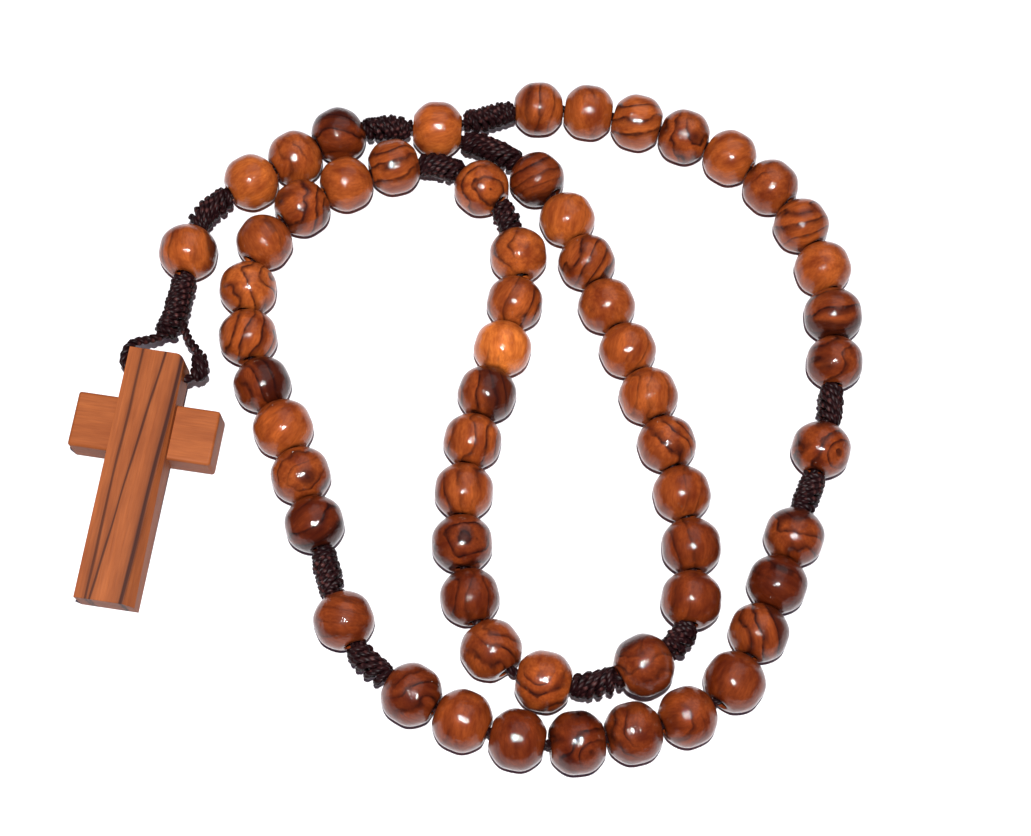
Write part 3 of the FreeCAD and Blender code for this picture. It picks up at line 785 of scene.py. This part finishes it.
# takes the crossbar's wood clear of the upright's growth lines
BAR_GRAIN_SHIFT = 30
cross_tilt = math.atan(POST_LIFT / (POST_LENGTH - POST_ABOVE - BAR_WIDTH / 2))
cross_rise = Vector((0, 0, math.sin(cross_tilt) * BAR_WIDTH / 2))
cross_place = (
    Matrix.Scale(MM, 4)
    @ Matrix.Translation(BAR_MIDDLE + cross_rise)
    @ Matrix.Rotation(CROSS_TURN, 4, "Z")
    @ Matrix.Rotation(cross_tilt, 4, "X")
)


def block(low, high):
    """A block between two corners, in the cross's own frame, in millimetres."""
    shape = bmesh.new()
    low, high = Vector(low), Vector(high)
    cube = bmesh.ops.create_cube(shape, size=1)
    bmesh.ops.scale(shape, vec=high - low, verts=cube["verts"])
    bmesh.ops.translate(shape, vec=(low + high) / 2, verts=cube["verts"])
    return shape


def bevel_edges(shape, edges, offset, segments, clamp):
    bmesh.ops.bevel(
        shape, geom=edges, offset=offset, offset_type="OFFSET", segments=segments, profile=0.5,
        affect="EDGES", material=-1, clamp_overlap=clamp,
    )


def upright_shape():
    """The upright, with its right front edge cut off towards the foot and a round top corner."""
    half = POST_WIDTH / 2
    foot, top, front = POST_ABOVE - POST_LENGTH, POST_ABOVE, POST_LIFT + POST_THICK
    shape = block((-half, foot, POST_LIFT), (half, top, front))
    top_corner = Vector((half, top, front))
    on_front = Vector((half - FOOT_CUT_ACROSS, foot, front))
    on_side = Vector((half, foot, front - FOOT_CUT_DEEP))
    outwards = (on_side - top_corner).cross(on_front - top_corner).normalized()
    if outwards.x < 0:
        outwards = -outwards
    cut = bmesh.ops.bisect_plane(
        shape, geom=shape.verts[:] + shape.edges[:] + shape.faces[:], dist=1e-5,
        plane_co=top_corner, plane_no=outwards, clear_outer=True,
    )
    edges = [e for e in cut["geom_cut"] if isinstance(e, bmesh.types.BMEdge)]
    bmesh.ops.holes_fill(shape, edges=edges)
    corner = [
        e for e in shape.edges
        if all(v.co.x > half - 0.3 and v.co.y > top - 0.01 for v in e.verts)
    ]
    bevel_edges(shape, corner, TOP_CORNER, 5, False)
    return shape


def crossbar_shape():
    half_length, half_width = BAR_LENGTH / 2, BAR_WIDTH / 2
    return block((-half_length, -half_width, 0), (half_length, half_width, BAR_THICK))


def cross_mesh(name, shape, ease, turned):
    """Eases a block's edges and lays it in place. Its grain runs along Y, or turned, along X."""
    sharp = [
        e for e in shape.edges if len(e.link_faces) == 2 and e.calc_face_angle(0) > SHARP_ANGLE
    ]
    bevel_edges(shape, sharp, ease, 3, True)
    bmesh.ops.recalc_face_normals(shape, faces=shape.faces)
    layer = shape.verts.layers.float_vector.new("grain")
    for vertex in shape.verts:
        x, y, z = vertex.co
        vertex[layer] = Vector((y + BAR_GRAIN_SHIFT, x, z)) if turned else vertex.co
    return settled_mesh(name, shape, cross_place)


for name, shape, ease, turned in (
    ("cross_upright", upright_shape(), POST_EASE, False),
    ("cross_crossbar", crossbar_shape(), BAR_EASE, True),
):
    mesh = cross_mesh(name, shape, ease, turned)
    finish_piece(name, mesh, cross_wood, "cross", "cross")

# ---------------------------------------------------------------- table and light

TABLE_HALF = 1.5
FLASH_ABOVE_LENS, FLASH_FARTHER = 35 * MM, 1.3
FLASH_SIZE, FLASH_POWER = 8 * MM, 1.9
SOFT_PLACE, SOFT_SIZE, SOFT_POWER = (0.1, 0.35, 0.6), 0.6, 0.8
ROOM_COLOUR, ROOM_STRENGTH = (0.8, 0.6, 1.0, 1), 0.08


def white_table():
    shape = bmesh.new()
    bmesh.ops.create_grid(shape, x_segments=1, y_segments=1, size=TABLE_HALF)
    mesh = settled_mesh("table", shape, Matrix.Identity(4))
    mesh.materials.append(Nodes("white_table").finish({
        "Base Color": (0.72, 0.71, 0.73, 1),
        "Roughness": 0.7,
        "Specular IOR Level": 0.2,
    }))
    table = bpy.data.objects.new("table", mesh)
    scene.collection.objects.link(table)


def lamp(name, place, size, power):
    """A round lamp that shines at the middle of the table."""
    light = bpy.data.lights.new(name, "AREA")
    light.shape = "DISK"
    light.size = size
    light.energy = power
    lit = bpy.data.objects.new(name, light)
    turn = (-Vector(place)).normalized().to_track_quat("-Z", "Y")
    lit.matrix_world = Matrix.Translation(place) @ turn.to_matrix().to_4x4()
    scene.collection.objects.link(lit)


white_table()
lamp("flash", (CAMERA_PLACE + camera_up * FLASH_ABOVE_LENS) * FLASH_FARTHER, FLASH_SIZE, FLASH_POWER)
lamp("soft_top", SOFT_PLACE, SOFT_SIZE, SOFT_POWER)
world = bpy.data.worlds.new("room")
world.use_nodes = True
background = world.node_tree.nodes["Background"]
background.inputs[0].default_value = ROOM_COLOUR
background.inputs[1].default_value = ROOM_STRENGTH
scene.world = world
scene.view_settings.view_transform = "Standard"
